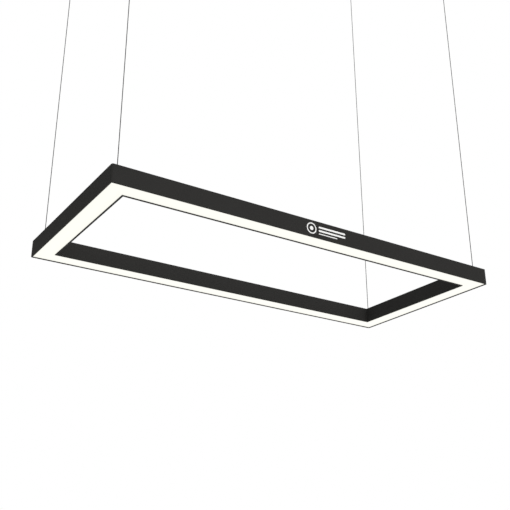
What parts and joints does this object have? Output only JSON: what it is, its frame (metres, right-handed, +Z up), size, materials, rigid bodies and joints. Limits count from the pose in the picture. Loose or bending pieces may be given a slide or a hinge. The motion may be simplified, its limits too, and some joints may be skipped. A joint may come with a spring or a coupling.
{
  "type": "pool table lamp",
  "caption": "Rectangular ring of black aluminium light rails with opal diffusers below, hung level from the ceiling on thin steel wires for a pool table.",
  "frame": {"origin": "on the ceiling plane, midway between the four ceiling plates and above the middle of the lamp", "axes": "+Z up, +X along the lamp's long side, -Y towards its front long rail"},
  "size_m": [2.2, 0.975, 2.6],
  "materials": {
    "rail": "matt black powder coat on extruded aluminium",
    "diffuser": "satin opal polycarbonate, lit from behind",
    "gear_tray": "mill finish sheet",
    "led_strip": "white solder mask",
    "zinc_steel": "zinc plated sheet",
    "nickel": "satin nickel plated brass",
    "spring": "spring steel",
    "wire": "blackened steel strand, 4 mm",
    "driver": "white polycarbonate case",
    "terminal": "pale grey moulded",
    "grommet": "soft black rubber",
    "ceiling_cup": "matt black powder coat on drawn steel"
  },
  "bodies": {
    "ceiling_fittings": {"front_left_ceiling_plate": "zinc_steel", "front_left_ceiling_cup": "ceiling_cup", "front_right_ceiling_plate": "zinc_steel", "front_right_ceiling_cup": "ceiling_cup", "rear_right_ceiling_plate": "zinc_steel", "rear_right_ceiling_cup": "ceiling_cup", "rear_left_ceiling_plate": "zinc_steel", "rear_left_ceiling_cup": "ceiling_cup"},
    "lamp_frame": {"front_rail": "rail", "right_rail": "rail", "rear_rail": "rail", "left_rail": "rail", "front_diffuser": "diffuser", "front_gear_tray": "gear_tray", "front_led_strip": "led_strip", "right_diffuser": "diffuser", "right_gear_tray": "gear_tray", "right_led_strip": "led_strip", "rear_diffuser": "diffuser", "rear_gear_tray": "gear_tray", "rear_led_strip": "led_strip", "left_diffuser": "diffuser", "left_gear_tray": "gear_tray", "left_led_strip": "led_strip", "led_driver_1": "driver", "led_driver_2": "driver", "terminal_block": "terminal", "mains_inlet_grommet": "grommet", "front_left_corner_bracket": "zinc_steel", "front_left_rosette": "rail", "front_right_corner_bracket": "zinc_steel", "front_right_rosette": "rail", "rear_right_corner_bracket": "zinc_steel", "rear_right_rosette": "rail", "rear_left_corner_bracket": "zinc_steel", "rear_left_rosette": "rail"},
    "front_left_end_ball": {"front_left_wire_end_ball": "nickel"},
    "front_left_wire": {"front_left_wire": "wire"},
    "front_left_washer": {"front_left_swivel_washer": "nickel"},
    "front_left_gripper": {"front_left_gripper_body": "nickel", "front_left_release_spring": "spring"},
    "front_left_sleeve": {"front_left_release_sleeve": "nickel"},
    "front_right_end_ball": {"front_right_wire_end_ball": "nickel"},
    "front_right_wire": {"front_right_wire": "wire"},
    "front_right_washer": {"front_right_swivel_washer": "nickel"},
    "front_right_gripper": {"front_right_gripper_body": "nickel", "front_right_release_spring": "spring"},
    "front_right_sleeve": {"front_right_release_sleeve": "nickel"},
    "rear_right_end_ball": {"rear_right_wire_end_ball": "nickel"},
    "rear_right_wire": {"rear_right_wire": "wire"},
    "rear_right_washer": {"rear_right_swivel_washer": "nickel"},
    "rear_right_gripper": {"rear_right_gripper_body": "nickel", "rear_right_release_spring": "spring"},
    "rear_right_sleeve": {"rear_right_release_sleeve": "nickel"},
    "rear_left_end_ball": {"rear_left_wire_end_ball": "nickel"},
    "rear_left_wire": {"rear_left_wire": "wire"},
    "rear_left_washer": {"rear_left_swivel_washer": "nickel"},
    "rear_left_gripper": {"rear_left_gripper_body": "nickel", "rear_left_release_spring": "spring"},
    "rear_left_sleeve": {"rear_left_release_sleeve": "nickel"}
  },
  "joints": [
    {"name": "sway_side", "type": "hinge", "parent": "ceiling_fittings", "child": "front_left_end_ball", "pos_m": [-1.056, -0.4375, -0.009], "axis": [1, 0, 0], "range_deg": [-4, 4]},
    {"name": "sway_long", "type": "hinge", "parent": "front_left_end_ball", "child": "front_left_wire", "pos_m": [-1.056, -0.4375, -0.009], "axis": [0, 1, 0], "range_deg": [-3, 3]},
    {"name": "height_adjust", "type": "slide", "parent": "front_left_wire", "child": "front_left_gripper", "axis": [0, 0, 1], "range_m": [0, 0.8], "deforming": ["front_left_wire", "front_right_wire", "rear_right_wire", "rear_left_wire"]},
    {"name": "front_left_washer_long", "type": "hinge", "parent": "front_left_gripper", "child": "front_left_washer", "pos_m": [-1.056, -0.4375, -2.5291], "axis": [0, 1, 0], "range_deg": [-3, 3]},
    {"name": "lamp_level_side", "type": "hinge", "parent": "front_left_washer", "child": "lamp_frame", "pos_m": [-1.056, -0.4375, -2.5291], "axis": [1, 0, 0], "range_deg": [-4, 4]},
    {"name": "front_left_sleeve_press", "type": "slide", "parent": "front_left_gripper", "child": "front_left_sleeve", "axis": [0, 0, -1], "range_m": [0, 0.003], "stiffness_N_per_m": 1500, "springref_m": -0.002, "deforming": ["front_left_release_spring"]},
    {"name": "front_right_end_ball_side", "type": "hinge", "parent": "ceiling_fittings", "child": "front_right_end_ball", "pos_m": [1.056, -0.4375, -0.009], "axis": [1, 0, 0], "range_deg": [-4, 4]},
    {"name": "front_right_wire_long", "type": "hinge", "parent": "front_right_end_ball", "child": "front_right_wire", "pos_m": [1.056, -0.4375, -0.009], "axis": [0, 1, 0], "range_deg": [-3, 3]},
    {"name": "front_right_washer_side", "type": "hinge", "parent": "lamp_frame", "child": "front_right_washer", "pos_m": [1.056, -0.4375, -2.5291], "axis": [1, 0, 0], "range_deg": [-4, 4]},
    {"name": "front_right_gripper_long", "type": "hinge", "parent": "front_right_washer", "child": "front_right_gripper", "pos_m": [1.056, -0.4375, -2.5291], "axis": [0, 1, 0], "range_deg": [-3, 3]},
    {"name": "front_right_sleeve_press", "type": "slide", "parent": "front_right_gripper", "child": "front_right_sleeve", "axis": [0, 0, -1], "range_m": [0, 0.003], "stiffness_N_per_m": 1500, "springref_m": -0.002, "deforming": ["front_right_release_spring"]},
    {"name": "rear_right_end_ball_side", "type": "hinge", "parent": "ceiling_fittings", "child": "rear_right_end_ball", "pos_m": [1.056, 0.4375, -0.009], "axis": [1, 0, 0], "range_deg": [-4, 4]},
    {"name": "rear_right_wire_long", "type": "hinge", "parent": "rear_right_end_ball", "child": "rear_right_wire", "pos_m": [1.056, 0.4375, -0.009], "axis": [0, 1, 0], "range_deg": [-3, 3]},
    {"name": "rear_right_washer_side", "type": "hinge", "parent": "lamp_frame", "child": "rear_right_washer", "pos_m": [1.056, 0.4375, -2.5291], "axis": [1, 0, 0], "range_deg": [-4, 4]},
    {"name": "rear_right_gripper_long", "type": "hinge", "parent": "rear_right_washer", "child": "rear_right_gripper", "pos_m": [1.056, 0.4375, -2.5291], "axis": [0, 1, 0], "range_deg": [-3, 3]},
    {"name": "rear_right_sleeve_press", "type": "slide", "parent": "rear_right_gripper", "child": "rear_right_sleeve", "axis": [0, 0, -1], "range_m": [0, 0.003], "stiffness_N_per_m": 1500, "springref_m": -0.002, "deforming": ["rear_right_release_spring"]},
    {"name": "rear_left_end_ball_side", "type": "hinge", "parent": "ceiling_fittings", "child": "rear_left_end_ball", "pos_m": [-1.056, 0.4375, -0.009], "axis": [1, 0, 0], "range_deg": [-4, 4]},
    {"name": "rear_left_wire_long", "type": "hinge", "parent": "rear_left_end_ball", "child": "rear_left_wire", "pos_m": [-1.056, 0.4375, -0.009], "axis": [0, 1, 0], "range_deg": [-3, 3]},
    {"name": "rear_left_washer_side", "type": "hinge", "parent": "lamp_frame", "child": "rear_left_washer", "pos_m": [-1.056, 0.4375, -2.5291], "axis": [1, 0, 0], "range_deg": [-4, 4]},
    {"name": "rear_left_gripper_long", "type": "hinge", "parent": "rear_left_washer", "child": "rear_left_gripper", "pos_m": [-1.056, 0.4375, -2.5291], "axis": [0, 1, 0], "range_deg": [-3, 3]},
    {"name": "rear_left_sleeve_press", "type": "slide", "parent": "rear_left_gripper", "child": "rear_left_sleeve", "axis": [0, 0, -1], "range_m": [0, 0.003], "stiffness_N_per_m": 1500, "springref_m": -0.002, "deforming": ["rear_left_release_spring"]}
  ],
  "couplings": [
    {"joint": "front_left_washer_long", "follows": "sway_long", "ratio": -1},
    {"joint": "lamp_level_side", "follows": "sway_side", "ratio": -1},
    {"joint": "front_right_end_ball_side", "follows": "sway_side", "ratio": 1},
    {"joint": "front_right_wire_long", "follows": "sway_long", "ratio": 1},
    {"joint": "front_right_washer_side", "follows": "sway_side", "ratio": 1},
    {"joint": "front_right_gripper_long", "follows": "sway_long", "ratio": 1},
    {"joint": "rear_right_end_ball_side", "follows": "sway_side", "ratio": 1},
    {"joint": "rear_right_wire_long", "follows": "sway_long", "ratio": 1},
    {"joint": "rear_right_washer_side", "follows": "sway_side", "ratio": 1},
    {"joint": "rear_right_gripper_long", "follows": "sway_long", "ratio": 1},
    {"joint": "rear_left_end_ball_side", "follows": "sway_side", "ratio": 1},
    {"joint": "rear_left_wire_long", "follows": "sway_long", "ratio": 1},
    {"joint": "rear_left_washer_side", "follows": "sway_side", "ratio": 1},
    {"joint": "rear_left_gripper_long", "follows": "sway_long", "ratio": 1}
  ]
}
